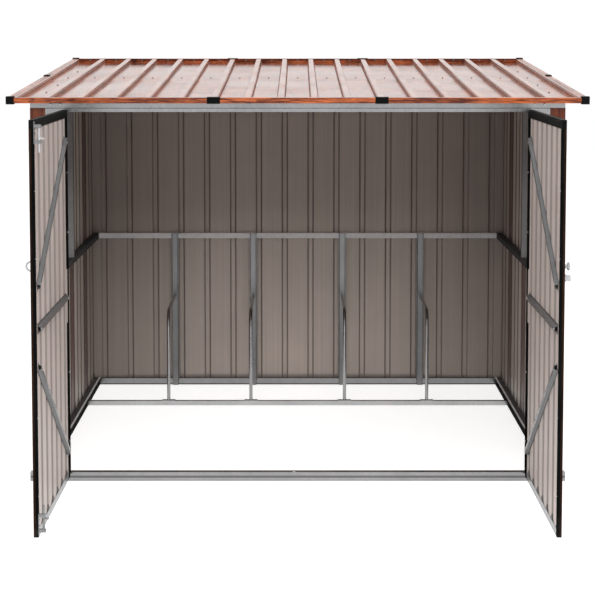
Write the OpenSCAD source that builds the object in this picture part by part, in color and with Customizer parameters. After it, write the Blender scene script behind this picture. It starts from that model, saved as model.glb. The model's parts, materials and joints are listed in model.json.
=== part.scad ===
// Bike shelter: a ribbed sheet steel shed on a galvanised frame, with a low
// mono-pitch roof, two hinged doors, two door bolts and a wheel rack.
// +X is right, +Y is to the rear, +Z is up. The origin lies on the ground,
// under the middle of the front sill.

/* [Body] */
// Width over the corner trims
body_w = 1968; // [1800:1:2200]
// Depth from the front face to the back of the rear wall
body_d = 1958; // [1800:1:2200]
// Clear height under the front header
clear_h = 1380; // [1300:1:1700]
// Width of a door jamb, out to the body's corner
jamb_w = 134; // [110:1:180]

/* [Roof] */
// Fall of the roof towards the front, in degrees
roof_slope = 3.34; // [2:0.1:6]
// Width over the side trims of the roof
roof_w = 2122; // [2118:1:2360]
// Overhang in front of the front face
front_overhang = 48; // [40:1:120]
// Overhang behind the rear wall
rear_overhang = 22; // [22:1:100]
// Height of a roof rib
roof_rib_h = 18; // [10:1:24]
// Width of a roof rib at its foot
roof_rib_base = 42; // [36:1:50]
// Width of a roof rib at its crown
roof_rib_top = 23; // [16:1:28]
// Overlap of the upper roof sheet on the lower one
roof_lap = 36; // [20:1:38]
// Depth of a roof trim's flanges
trim_flange = 20; // [14:1:21]
// Side of a corner cap
cap_size = 29; // [26:1:40]
// Wall of a corner cap
cap_wall = 3.5; // [1.5:0.1:4]
// Wall of a trim joiner
joiner_wall = 1.5; // [1:0.1:3]
// Length of a trim joiner
joiner_len = 48; // [44:1:90]
// Length of the middle piece of the front and rear trims
trim_mid_len = 615; // [400:1:900]

/* [Sheets] */
// Thickness of the wall, roof and door sheets
sheet_t = 0.7; // [0.4:0.1:1.2]
// Distance between ribs
rib_pitch = 123; // [100:1:140]
// Height of a wall rib
rib_h = 10; // [6:0.5:14]
// Width of a wall rib at its foot
rib_base = 30; // [26:1:40]
// Width of a wall rib at its crown
rib_top = 18; // [10:1:22]
// Thickness of the corner and roof trims
trim_t = 0.8; // [0.5:0.1:1.5]
// Width of a front corner trim on the front
corner_face = 56; // [40:1:80]
// Width of the corner trims round the corner
corner_return = 27; // [20:1:28]

/* [Frame] */
// Thickness of the frame profiles
frame_t = 1.2; // [0.8:0.1:2]
// Depth of the rails along the walls
rail_d = 28; // [22:1:40]
// Height of the base rails
base_h = 30; // [24:1:50]
// Height of the front sill
sill_h = 34; // [28:1:50]
// Depth of the front sill
sill_d = 30; // [26:1:50]
// Depth of the groove along the sill's face
groove_d = 3; // [1:0.5:3.5]
// Height of the groove along the sill's face
groove_h = 7; // [4:0.5:9]
// Distance the base stands out past the walls
base_flange = 16; // [0:1:30]
// Step in the header's face
face_step = 2; // [1:0.5:2.5]
// Height of the header at its face
header_h = 37; // [30:1:60]
// Depth of the header
header_d = 35; // [28:1:60]
// Height of the header's lower lip
header_lip = 15; // [10:1:20]
// Depth of the door jambs
jamb_d = 20; // [15:1:60]
// Height of the top rails and the purlin
top_rail_h = 30; // [24:1:50]
// Underside of the mid rails
mid_rail_z = 703; // [500:1:900]
// Height of the mid rails
mid_rail_h = 24; // [20:1:40]
// Radius of an anchor hole
anchor_r = 5.5; // [4:0.5:8]
// Distance of the first anchor from the front face
anchor_front = 250; // [150:1:500]
// Distance between the anchors of one rail
anchor_span = 740; // [500:1:1000]

/* [Wheel rack] */
// Distance of the floor rail behind the front face
rack_rail_y = 1417; // [1200:1:1500]
// Depth of the floor rail
rack_rail_d = 26; // [20:1:40]
// Height of the floor rail
rack_rail_h = 20; // [15:1:30]
// Distance of the inner wheel holders from the middle
holder_inner = 211; // [150:1:250]
// Distance of the outer wheel holders from the middle
holder_outer = 582; // [450:1:700]
// Height of a wheel holder
holder_h = 430; // [300:1:600]
// Radius of the holder's tube
holder_r = 7.5; // [5:0.5:10]
// Radius of the holder's bend
holder_bend = 70; // [40:1:120]
// Width of a holder's foot plate
foot_w = 60; // [40:1:80]
// Thickness of a holder's foot plate
foot_t = 3; // [2:0.5:6]
// Width of a rear rack post over its flanges
rack_post_w = 33; // [30:1:50]
// Width of a rear rack post's face
rack_post_face = 21; // [14:1:24]
// Depth of a rear rack post
rack_post_d = 12; // [8:1:20]

/* [Doors] */
// Thickness of a door
door_t = 16; // [14:1:24]
// Gap between a closed door and the front face
door_gap = 7; // [6:0.5:12]
// Gap between the closed doors, and between door and hinge axis
door_edge_gap = 7; // [5.5:0.5:10]
// Distance of a hinge axis outside the jamb's edge
hinge_out = 5; // [3:0.5:8]
// Distance of a door's lower edge above the ground
door_bottom = 24; // [15:1:30]
// Overlap of a door on the header
door_lap = 9; // [5:1:20]
// Thickness of the door frame's profiles
stile_t = 1; // [0.8:0.1:1.5]
// Flange of the free stile on the inside
stile_flange = 20; // [15:1:30]
// Flange of the free stile on the outside
lock_flange = 45; // [30:1:60]
// Wide flange of the hinge stile on the inside
hinge_flange = 50; // [30:1:70]
// Length of the hinge stile whose wide flange is cut back
hinge_notch = 200; // [120:1:300]
// Height of a door's top rail
top_rail_door_h = 29; // [20:1:40]
// Height of a door's bottom rail
bottom_rail_door_h = 26; // [20:1:40]
// Width of a brace over its flanges
brace_w = 34; // [28:1:50]
// Height of a brace
brace_h = 11; // [6:1:16]
// Height of the door's middle brace
brace_mid_z = 706; // [500:1:800]
// Upper brace at the hinge stile
brace_high_z = 1283; // [1150:1:1300]
// Upper brace at the free stile
brace_upper_z = 845; // [760:1:900]
// Lower brace at the free stile
brace_lower_z = 580; // [450:1:620]
// Lower brace at the hinge stile
brace_low_z = 130; // [90:1:150]

/* [Hinges] */
// Radius of a hinge pin
pin_r = 3; // [2:0.5:4]
// Running clearance of a hinge pin
pin_gap = 0.05; // [0.02:0.01:0.1]
// Radius of a hinge barrel
barrel_r = 6; // [5:0.5:6.5]
// Length of one hinge barrel
barrel_len = 29; // [20:1:40]
// Gap between the two barrels of a hinge
barrel_gap = 1; // [0.5:0.1:2]
// Thickness of a hinge's plate
leaf_t = 2; // [1.5:0.1:3]
// Width of a hinge's plate
leaf_w = 36; // [24:1:50]
// Height of the lowest hinge
hinge_low_z = 190; // [120:1:300]
// Distance of the highest hinge below the header
hinge_top_drop = 130; // [80:1:300]

/* [Bolts and pulls] */
// Radius of a bolt's rod
bolt_r = 4; // [3:0.5:5]
// Clearance of a bolt in its guides
bolt_gap = 0.3; // [0.2:0.1:0.6]
// Clearance of a bolt in the header or sill
keeper_gap = 1.5; // [1:0.1:2]
// Length of a bolt's rod
bolt_len = 90; // [88:1:150]
// Distance of a drawn bolt's tip from header or sill
bolt_clear = 6; // [5:0.5:10]
// Distance of a bolt's middle from the door's inside
bolt_off = 16.5; // [16:0.5:20]
// Travel of a bolt
bolt_throw = 30; // [20:1:32]
// Clearance of a bolt's grip between the guide blocks
grip_gap = 2; // [1:0.5:4]
// Wall of a guide block beside the bolt
block_wall = 3; // [2:0.5:4]
// Width of a bolt's guide plate
guide_w = 18; // [14:1:19]
// Thickness of a bolt's guide plate
guide_t = 2; // [1.5:0.1:3]
// Distance a guide plate runs past a drawn bolt's tip
guide_rise = 10; // [4:1:10]
// Height of a guide block
block_h = 10; // [6:1:12]
// Radius of a bolt's grip
grip_r = 3; // [2:0.5:4]
// Length of a bolt's grip from the rod's middle
grip_len = 17; // [12:1:24]
// Height of the pull and the knob
pull_z = 914; // [800:1:1100]
// Ring radius of the pull
pull_ring_r = 15; // [12:1:20]
// Rod radius of the pull
pull_rod_r = 3; // [2:0.5:4]
// Radius of the knob
knob_r = 14; // [10:1:18]
// Radius of the lock barrel
lock_r = 12; // [9:0.5:13]
// Distance of the lock barrel below the knob
lock_drop = 38; // [30:1:60]

/* [Hidden] */
$fn = 48;

// Planes of the body
front_y = -sill_d / 2;
rear_y = front_y + body_d;
crest_x = body_w / 2 - trim_t;
pan_x = crest_x - rib_h;
frame_x = pan_x - sheet_t;
crest_y = rear_y - trim_t;
pan_y = crest_y - rib_h;
frame_y = pan_y - sheet_t;
rail_x = frame_x - rail_d;
rail_y = frame_y - rail_d;
jamb_x = body_w / 2 - jamb_w;
jamb_face_y = front_y + trim_t;
trim_x = body_w / 2 - corner_face;
sheet_gap = 0.5;
lap_gap = 0.05;
seat_gap = 0.1;
trim_gap = 0.2;
trim_joint = 2;
big = 6000;

// Roof plane: the underside of the roof sheets
roof_y = front_y - front_overhang;
roof_run = (body_d + front_overhang + rear_overhang) / cos(roof_slope);
roof_lap_y = roof_run / 2;
roof_edge = roof_w / 2;
roof_flank = norm([(roof_rib_base - roof_rib_top) / 2, roof_rib_h]);
roof_lift = sheet_t * 2 * roof_flank / (roof_rib_base - roof_rib_top) + lap_gap;
trim_top = roof_rib_h + sheet_t + trim_t + 2 * seat_gap;
side_trim_flange = 2 * trim_flange;

// Height of the roof plane at a depth y
function roof_z(y) = clear_h + header_h + (y - front_y) * tan(roof_slope);

// Doors: u runs from the hinge axis to the free edge, v to the inside
hinge_x = jamb_x + hinge_out;
hinge_y = front_y - door_gap - door_t / 2;
hinge_zs = [hinge_low_z, (hinge_low_z + clear_h - hinge_top_drop) / 2, clear_h - hinge_top_drop];
door_face = door_t / 2;
door_start = door_edge_gap;
door_end = hinge_x - door_edge_gap / 2;
door_top = clear_h + door_lap;
door_pan = door_face - stile_t;
bolt_u = door_end - stile_flange / 2;
bolt_v = door_face + bolt_off;
bolt_keeper_x = -hinge_x + bolt_u;
bolt_keeper_y = hinge_y + bolt_v;
keeper_r = bolt_r + keeper_gap;
block_far = block_h + bolt_throw + 2 * (grip_r + grip_gap);
guide_end = block_far + block_h + guide_t;
lock_u = door_end - lock_flange / 2;

// Sheet metal: a folded path with an even thickness on its left side
function unit(v) = v / norm(v);
function left_of(v) = [-v[1], v[0]];
function side_of(p, i) = left_of(unit(p[i + 1] - p[i]));
function fold_of(p, i) =
    let (a = side_of(p, max(i - 1, 0)), b = side_of(p, min(i, len(p) - 2)))
    (a + b) / (1 + a * b);
function folded(p, t) = concat(p, [for (i = [len(p) - 1:-1:0]) p[i] + t * fold_of(p, i)]);

// Ribs along a sheet: four corners a rib, with the middle of the row at 0
function rib_count(w, base, edge) = floor((w - base - 2 * edge) / rib_pitch) + 1;
function rib_corners(n, base, top, h) = [
    for (k = [0:n - 1])
        for (q = [[-base / 2, 0], [-top / 2, h], [top / 2, h], [base / 2, 0]])
            [(k - (n - 1) / 2) * rib_pitch + q[0], q[1]]
];
function ribbed(w, edge) = concat(
    [[-w / 2, 0]],
    rib_corners(rib_count(w, rib_base, edge), rib_base, rib_top, rib_h),
    [[w / 2, 0]]
);

module along_x(length) {
    rotate([90, 0, 90])
        linear_extrude(length, center = true)
            children();
}

module along_y(length) {
    translate([0, length, 0])
        rotate([90, 0, 0])
            linear_extrude(length)
                children();
}

module on_roof() {
    translate([0, roof_y, roof_z(roof_y)])
        rotate([roof_slope, 0, 0])
            children();
}

module above_roof(gap) {
    on_roof()
        translate([-big / 2, -big / 2, -gap])
            cube(big);
}

module both_sides() {
    children();
    mirror([1, 0, 0])
        children();
}

module galvanised() {
    color("silver")
        children();
}

module wood_print() {
    color("sienna")
        children();
}

module black_finish() {
    color("#202222")
        children();
}

// Base frame

module front_sill() {
    low = (sill_h - groove_h) / 2;
    high = low + groove_h;
    back = front_y + groove_d;
    path = [
        [-front_y, sill_h], [front_y, sill_h], [front_y, high], [back, high],
        [back, low], [front_y, low], [front_y, 0], [-front_y, 0],
    ];
    galvanised()
        difference() {
            along_x(body_w + 2 * base_flange)
                polygon(folded(path, frame_t));
            translate([bolt_keeper_x, bolt_keeper_y, sill_h - 2 * frame_t])
                cylinder(r = keeper_r, h = 4 * frame_t);
        }
}

module rear_base_rail() {
    path = [[frame_y, base_h], [rail_y, base_h], [rail_y, 0], [rear_y + base_flange, 0]];
    galvanised()
        along_x(2 * rail_x)
            polygon(folded(path, frame_t));
}

module side_base_rails() {
    out = body_w / 2 + base_flange;
    path = [[-out, 0], [-rail_x, 0], [-rail_x, base_h], [-frame_x, base_h]];
    galvanised()
        both_sides()
            difference() {
                translate([0, -front_y, 0])
                    along_y(frame_y + front_y)
                        polygon(folded(path, frame_t));
                for (y = [anchor_front, anchor_front + anchor_span])
                    translate([-frame_x + rail_d / 2, front_y + y, -base_h])
                        cylinder(r = anchor_r, h = 3 * base_h);
            }
}

// Door jambs

module front_jambs() {
    path = [
        [-jamb_x, jamb_face_y + jamb_d], [-jamb_x, jamb_face_y],
        [-frame_x, jamb_face_y], [-frame_x, jamb_face_y + jamb_d],
    ];
    galvanised()
        both_sides()
            translate([0, 0, sill_h])
                linear_extrude(clear_h - sill_h)
                    polygon(folded(path, -frame_t));
}

// Top frame

module front_header() {
    step_z = clear_h + header_lip;
    back_y = front_y + header_d;
    path = [
        [back_y, clear_h], [front_y, clear_h], [front_y, step_z - face_step],
        [front_y + face_step, step_z], [front_y + face_step, roof_z(front_y + face_step)],
        [back_y, roof_z(back_y)],
    ];
    galvanised() {
        difference() {
            along_x(2 * frame_x)
                polygon(folded(path, -frame_t));
            both_sides()
                translate([trim_x, front_y - big / 2, step_z - big])
                    cube(big);
            translate([bolt_keeper_x, bolt_keeper_y, clear_h - header_lip / 2])
                cylinder(r = keeper_r, h = header_lip);
        }
        translate([-body_w / 2, front_y + face_step, step_z])
            cube([body_w, frame_t, roof_z(front_y + face_step) - step_z]);
    }
}

module rear_top_rail() {
    low_z = roof_z(rail_y) - top_rail_h;
    path = [
        [frame_y, roof_z(frame_y) + roof_lift], [rail_y, roof_z(rail_y) + roof_lift],
        [rail_y, low_z], [frame_y, low_z],
    ];
    galvanised()
        along_x(2 * frame_x)
            polygon(folded(path, frame_t));
}

module side_top_rails() {
    start = (front_y + header_d - roof_y) / cos(roof_slope) + frame_t;
    end = (rail_y - roof_y) / cos(roof_slope) - top_rail_h * tan(roof_slope) - frame_t;
    path = [[-frame_x, -top_rail_h], [-rail_x, -top_rail_h], [-rail_x, 0], [-frame_x, 0]];
    galvanised()
        both_sides()
            on_roof()
                translate([0, start, 0])
                    along_y(end - start)
                        polygon(folded(path, frame_t));
}

module roof_purlin() {
    path = [
        [rail_d / 2, 0], [-rail_d / 2, 0],
        [-rail_d / 2, -top_rail_h], [rail_d / 2, -top_rail_h],
    ];
    galvanised()
        on_roof()
            translate([0, roof_lap_y, 0])
                along_x(2 * rail_x)
                    polygon(folded(path, frame_t));
}

// Mid rails

module side_mid_rails() {
    start = jamb_face_y + jamb_d;
    top = mid_rail_z + mid_rail_h;
    path = [[-frame_x, mid_rail_z], [-rail_x, mid_rail_z], [-rail_x, top], [-frame_x, top]];
    galvanised()
        both_sides()
            translate([0, start, 0])
                along_y(frame_y - start)
                    polygon(folded(path, frame_t));
}

module rear_mid_rail() {
    top = mid_rail_z + mid_rail_h;
    path = [[frame_y, top], [rail_y, top], [rail_y, mid_rail_z], [frame_y, mid_rail_z]];
    galvanised()
        along_x(2 * rail_x)
            polygon(folded(path, frame_t));
}

// The side posts stand on the mid rails, below the ends of the purlin
module side_posts() {
    middle = roof_y + roof_lap_y * cos(roof_slope);
    low = mid_rail_z + mid_rail_h;
    path = [
        [-frame_x, middle - rail_d / 2], [-rail_x, middle - rail_d / 2],
        [-rail_x, middle + rail_d / 2], [-frame_x, middle + rail_d / 2],
    ];
    galvanised()
        both_sides()
            difference() {
                translate([0, 0, low])
                    linear_extrude(roof_z(middle) - low)
                        polygon(folded(path, frame_t));
                above_roof(top_rail_h);
            }
}

// Walls

// The side sheets stand on the sill in front and run down beside the base rails
module side_walls() {
    start = front_y + face_step + frame_t;
    depth = frame_y - start;
    wood_print()
        both_sides()
            difference() {
                translate([-pan_x, start + depth / 2, frame_t])
                    rotate(90)
                        linear_extrude(roof_z(rear_y))
                            polygon(folded(ribbed(depth, corner_return), -sheet_t));
                above_roof(sheet_gap);
                translate([-big / 2, -front_y + sheet_gap - big, sill_h - big])
                    cube(big);
            }
}

module rear_wall() {
    wood_print()
        difference() {
            translate([0, pan_y, frame_t])
                linear_extrude(roof_z(rear_y))
                    polygon(folded(ribbed(2 * frame_x, corner_return), -sheet_t));
            above_roof(sheet_gap);
        }
}

module front_corner_trims() {
    out = body_w / 2;
    path = [
        [-trim_x, front_y], [-out, front_y],
        [-out, front_y + corner_return], [-pan_x, front_y + corner_return],
    ];
    wood_print()
        both_sides()
            translate([0, 0, sill_h])
                linear_extrude(clear_h + header_lip - sill_h)
                    polygon(folded(path, -trim_t));
}

module rear_corner_trims() {
    out = body_w / 2;
    path = [
        [-pan_x, rear_y - corner_return], [-out, rear_y - corner_return], [-out, rear_y],
        [-out + corner_return + rib_h, rear_y], [-out + corner_return + rib_h, pan_y],
    ];
    wood_print()
        both_sides()
            difference() {
                translate([0, 0, frame_t])
                    linear_extrude(roof_z(rear_y))
                        polygon(folded(path, -trim_t));
                above_roof(sheet_gap);
            }
}

// Roof

module roof_sheet(length) {
    n = rib_count(roof_w - 2 * trim_t, roof_rib_top, 0);
    corners = rib_corners(n, roof_rib_base, roof_rib_top, roof_rib_h);
    inner = [for (i = [1:len(corners) - 2]) corners[i]];
    wood_print()
        along_y(length)
            polygon(folded(inner, sheet_t));
}

module roof_lower_sheet() {
    on_roof()
        translate([0, trim_t + sheet_gap, seat_gap])
            roof_sheet(roof_lap_y + roof_lap / 2 - trim_t - sheet_gap);
}

module roof_upper_sheet() {
    on_roof()
        translate([0, roof_lap_y - roof_lap / 2, roof_lift + seat_gap])
            roof_sheet(roof_run / 2 + roof_lap / 2 - trim_t - sheet_gap);
}

module roof_front_trim() {
    wood_print()
        on_roof()
            trim_row();
}

module roof_rear_trim() {
    wood_print()
        on_roof()
            translate([0, roof_run, roof_lift])
                mirror([0, 1, 0])
                    trim_row();
}

// Three lengths of trim that meet under the joiners
module trim_row() {
    path = [[trim_flange, trim_top], [0, trim_top], [0, -trim_t], [trim_flange, -trim_t]];
    side_len = roof_edge - (trim_mid_len + trim_joint) / 2;
    along_x(trim_mid_len - trim_joint)
        polygon(folded(path, trim_t));
    both_sides()
        translate([roof_edge - side_len / 2, 0, 0])
            along_x(side_len)
                polygon(folded(path, trim_t));
}

module roof_side_trims() {
    path = [
        [-roof_edge + trim_flange, trim_top], [-roof_edge, trim_top],
        [-roof_edge, -trim_t], [-roof_edge + side_trim_flange, -trim_t],
    ];
    start = trim_flange + trim_gap;
    length = roof_lap_y - roof_lap / 2 - trim_gap - start;
    wood_print()
        both_sides()
            on_roof() {
                translate([0, start, 0])
                    along_y(length)
                        polygon(folded(path, trim_t));
                translate([0, roof_run - start - length, roof_lift])
                    along_y(length)
                        polygon(folded(path, trim_t));
            }
}

// A cap is a shell that is open towards the roof's middle
module corner_cap() {
    out = cap_wall + trim_gap;
    high = trim_top + trim_t + 2 * trim_gap;
    difference() {
        translate([-roof_edge - out, -out, -trim_t - out])
            cube([cap_size, cap_size, high + 2 * cap_wall]);
        translate([-roof_edge - trim_gap, -trim_gap, -trim_t - trim_gap])
            cube([cap_size, cap_size, high]);
    }
}

module roof_corner_caps() {
    black_finish()
        both_sides()
            on_roof() {
                corner_cap();
                translate([0, roof_run, roof_lift])
                    mirror([0, 1, 0])
                        corner_cap();
            }
}

// A joiner is a sleeve round two ends of trim
module joiner(flange, lift) {
    path = [
        [flange, trim_top + lift + trim_gap], [-trim_gap, trim_top + lift + trim_gap],
        [-trim_gap, -trim_t - trim_gap], [flange, -trim_t - trim_gap],
    ];
    along_x(joiner_len)
        polygon(folded(path, -joiner_wall));
}

module roof_trim_joiners() {
    black_finish()
        both_sides()
            on_roof() {
                translate([trim_mid_len / 2, 0, 0])
                    joiner(trim_flange, 0);
                translate([trim_mid_len / 2, roof_run, roof_lift])
                    mirror([0, 1, 0])
                        joiner(trim_flange, 0);
                translate([roof_edge, roof_lap_y, 0])
                    rotate(90)
                        joiner(trim_flange, roof_lift);
            }
}

// Wheel rack

module rack_floor_rail() {
    start = front_y + rack_rail_y;
    path = [
        [start, 0], [start, rack_rail_h],
        [start + rack_rail_d, rack_rail_h], [start + rack_rail_d, 0],
    ];
    galvanised()
        along_x(2 * rail_x)
            polygon(folded(path, -frame_t));
}

module at_holders() {
    for (x = [-holder_outer, -holder_inner, holder_inner, holder_outer])
        translate([x, 0, 0])
            children();
}

module rack_posts() {
    w = rack_post_w / 2;
    f = rack_post_face / 2;
    foot = (w + f) / 2;
    path = [
        [-w, rail_y], [-foot, rail_y], [-f, rail_y - rack_post_d],
        [f, rail_y - rack_post_d], [foot, rail_y], [w, rail_y],
    ];
    galvanised()
        at_holders()
            linear_extrude(mid_rail_z + mid_rail_h)
                polygon(folded(path, -frame_t));
}

module rack_holders() {
    middle = front_y + rack_rail_y + rack_rail_d / 2;
    back = rail_y - rack_post_d - frame_t;
    foot_z = rack_rail_h;
    bend_z = holder_h - holder_bend;
    galvanised()
        at_holders()
            translate([0, middle, 0]) {
                translate([-foot_w / 2, -rack_rail_d / 2, foot_z])
                    cube([foot_w, rack_rail_d, foot_t]);
                translate([0, 0, foot_z + foot_t / 2])
                    cylinder(r = holder_r, h = bend_z - foot_z - foot_t / 2);
                translate([0, holder_bend, bend_z])
                    rotate([90, 0, -90])
                        rotate_extrude(angle = 90)
                            translate([holder_bend, 0])
                                circle(r = holder_r);
                translate([0, holder_bend, holder_h])
                    rotate([-90, 0, 0])
                        cylinder(r = holder_r, h = back - middle - holder_bend);
            }
}

// Doors, in their own frame of u, v and z

module on_left_door() {
    translate([-hinge_x, hinge_y, 0])
        rotate(-90)
            children();
}

module on_right_door() {
    mirror([1, 0, 0])
        on_left_door()
            children();
}

module door_sheet() {
    w = door_end - door_start - 2 * (stile_t + trim_gap);
    low = door_bottom + stile_t + trim_gap;
    wood_print()
        translate([(door_start + door_end) / 2, door_pan - sheet_t - lap_gap, low])
            rotate(180)
                linear_extrude(door_top - stile_t - trim_gap - low)
                    polygon(folded(ribbed(w, hinge_flange), -sheet_t));
}

module door_stiles() {
    free = [
        [door_end - stile_flange, door_face], [door_end, door_face],
        [door_end, -door_face], [door_end - lock_flange, -door_face],
    ];
    hinge = [
        [door_start + hinge_flange, door_face], [door_start, door_face],
        [door_start, -door_face], [door_start + stile_flange, -door_face],
    ];
    height = door_top - top_rail_door_h - door_bottom;
    black_finish() {
        translate([0, 0, door_bottom])
            linear_extrude(height)
                polygon(folded(free, -stile_t));
        difference() {
            translate([0, 0, door_bottom])
                linear_extrude(height)
                    polygon(folded(hinge, stile_t));
            translate([door_start + stile_flange, 0, brace_mid_z - hinge_notch / 2])
                cube([hinge_flange, door_t, hinge_notch]);
        }
    }
}

module door_top_rail() {
    low = door_top - top_rail_door_h;
    path = [[door_face, low], [door_face, door_top], [-door_face, door_top], [-door_face, low]];
    black_finish() {
        translate([(door_start + door_end) / 2, 0, 0])
            along_x(door_end - door_start)
                polygon(folded(path, stile_t));
        for (u = [door_start, door_end - stile_t])
            translate([u, -door_face, low])
                cube([stile_t, door_t, top_rail_door_h]);
    }
}

module door_bottom_rail() {
    high = door_bottom + bottom_rail_door_h;
    path = [
        [-door_face, high], [-door_face, door_bottom],
        [door_face, door_bottom], [door_face, high],
    ];
    galvanised()
        difference() {
            translate([(door_start + door_end) / 2, 0, 0])
                along_x(door_end - door_start - 2 * stile_flange)
                    polygon(folded(path, stile_t));
            translate([0, door_pan, 0])
                cube([door_start + hinge_flange, door_t, high]);
            translate([door_end - lock_flange, -door_pan - door_t, 0])
                cube([lock_flange, door_t, high]);
        }
}

// A hat profile that lies on the inside of the sheet
module brace(from, to) {
    run = to - from;
    w = brace_w / 2;
    crown = w - brace_h;
    path = [
        [door_pan, -w], [door_pan, -crown - brace_h / 3], [door_pan + brace_h, -crown],
        [door_pan + brace_h, crown], [door_pan, crown + brace_h / 3], [door_pan, w],
    ];
    translate([(from[0] + to[0]) / 2, 0, (from[1] + to[1]) / 2])
        rotate([0, -atan2(run[1], run[0]), 0])
            along_x(norm(run))
                polygon(folded(path, -frame_t));
}

module door_braces() {
    near = door_start + hinge_flange + brace_w / 2;
    far = door_end - stile_flange - brace_w / 2;
    galvanised() {
        brace([near, brace_high_z], [far, brace_upper_z]);
        brace([near, brace_mid_z], [far, brace_mid_z]);
        brace([near, brace_low_z], [far, brace_lower_z]);
    }
}

// Hinges: the lower barrel and its pin are fixed, the upper barrel turns

module hinge_web(length) {
    translate([0, -leaf_t / 2, 0])
        cube([length, leaf_t, barrel_len]);
}

module door_hinge_eyes() {
    galvanised()
        for (z = hinge_zs)
            translate([0, 0, z + barrel_gap / 2])
                difference() {
                    union() {
                        cylinder(r = barrel_r, h = barrel_len);
                        hinge_web(door_start);
                    }
                    translate([0, 0, -barrel_len])
                        cylinder(r = pin_r + pin_gap, h = 3 * barrel_len);
                }
}

module hinge_bracket() {
    reach = jamb_face_y - hinge_y;
    height = 2 * barrel_len + barrel_gap;
    cylinder(r = barrel_r, h = barrel_len);
    cylinder(r = pin_r, h = height - leaf_t);
    rotate(90)
        hinge_web(reach - leaf_t / 2);
    translate([-leaf_w, reach - leaf_t, 0])
        cube([leaf_w + leaf_t / 2, leaf_t, height]);
}

module door_hinge_brackets() {
    galvanised()
        both_sides()
            for (z = hinge_zs)
                translate([-hinge_x, hinge_y, z - barrel_gap / 2 - barrel_len])
                    hinge_bracket();
}

// Bolts of the left door, drawn, with the tip at height 0 and pointing up

module at_top_bolt() {
    on_left_door()
        translate([bolt_u, 0, clear_h - bolt_clear])
            children();
}

module at_bottom_bolt() {
    on_left_door()
        translate([bolt_u, 0, sill_h + bolt_clear])
            mirror([0, 0, 1])
                children();
}

module bolt_guide() {
    plate_v = door_face + guide_t;
    block_w = 2 * (bolt_r + block_wall);
    difference() {
        union() {
            translate([-guide_w / 2, door_face, -guide_end])
                cube([guide_w, guide_t, guide_end + guide_rise]);
            for (z = [-block_h, -block_far - block_h])
                translate([-block_w / 2, plate_v - guide_t / 2, z])
                    cube([block_w, bolt_v + block_w / 2 - plate_v + guide_t / 2, block_h]);
        }
        translate([0, bolt_v, -2 * guide_end])
            cylinder(r = bolt_r + bolt_gap, h = 3 * guide_end);
    }
}

module bolt() {
    translate([0, bolt_v, -bolt_len])
        cylinder(r = bolt_r, h = bolt_len);
    translate([0, bolt_v, -block_far + grip_r + grip_gap])
        rotate([-90, 0, 0])
            cylinder(r = grip_r, h = grip_len);
}

module left_door_bolt_guides() {
    galvanised() {
        at_top_bolt()
            bolt_guide();
        at_bottom_bolt()
            bolt_guide();
    }
}

module top_bolt() {
    galvanised()
        at_top_bolt()
            bolt();
}

module bottom_bolt() {
    galvanised()
        at_bottom_bolt()
            bolt();
}

// Pull, knob and lock on the outside of the doors

module left_door_pull() {
    plate_h = 2 * (pull_ring_r + 2 * pull_rod_r);
    galvanised()
        on_left_door()
            translate([lock_u, -door_face, pull_z]) {
                translate([-2 * pull_rod_r, -guide_t, -plate_h / 2])
                    cube([4 * pull_rod_r, guide_t, plate_h]);
                translate([0, -guide_t / 2, 0])
                    rotate([180, -90, 0])
                        rotate_extrude(angle = 180)
                            translate([pull_ring_r, 0])
                                circle(r = pull_rod_r);
            }
}

module right_door_knob() {
    neck = 0.45 * knob_r;
    galvanised()
        on_right_door()
            translate([lock_u, -door_face, pull_z])
                rotate([90, 0, 0])
                    rotate_extrude()
                        polygon([
                            [0, 0], [0.9 * knob_r, 0], [0.9 * knob_r, guide_t], [neck, 2 * guide_t],
                            [neck, 0.6 * knob_r], [0.9 * knob_r, 0.8 * knob_r], [knob_r, knob_r],
                            [0.9 * knob_r, 1.2 * knob_r], [0.6 * knob_r, 1.35 * knob_r], [0, 1.4 * knob_r],
                        ]);
}

module right_door_lock() {
    slot_w = 0.2 * lock_r;
    galvanised()
        on_right_door()
            translate([lock_u, -door_face, pull_z - lock_drop])
                rotate([90, 0, 0])
                    difference() {
                        rotate_extrude()
                            polygon([
                                [0, 0], [lock_r, 0], [lock_r, 0.5 * lock_r],
                                [0.8 * lock_r, 0.7 * lock_r], [0.8 * lock_r, 1.7 * lock_r], [0, 1.7 * lock_r],
                            ]);
                        translate([-slot_w / 2, -0.5 * lock_r, 1.2 * lock_r])
                            cube([slot_w, lock_r, lock_r]);
                    }
}

module left_door_sheet() {
    on_left_door()
        door_sheet();
}

module left_door_stiles() {
    on_left_door()
        door_stiles();
}

module left_door_top_rail() {
    on_left_door()
        door_top_rail();
}

module left_door_bottom_rail() {
    on_left_door()
        door_bottom_rail();
}

module left_door_braces() {
    on_left_door()
        door_braces();
}

module left_door_hinge_eyes() {
    on_left_door()
        door_hinge_eyes();
}

module right_door_sheet() {
    on_right_door()
        door_sheet();
}

module right_door_stiles() {
    on_right_door()
        door_stiles();
}

module right_door_top_rail() {
    on_right_door()
        door_top_rail();
}

module right_door_bottom_rail() {
    on_right_door()
        door_bottom_rail();
}

module right_door_braces() {
    on_right_door()
        door_braces();
}

module right_door_hinge_eyes() {
    on_right_door()
        door_hinge_eyes();
}

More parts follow.
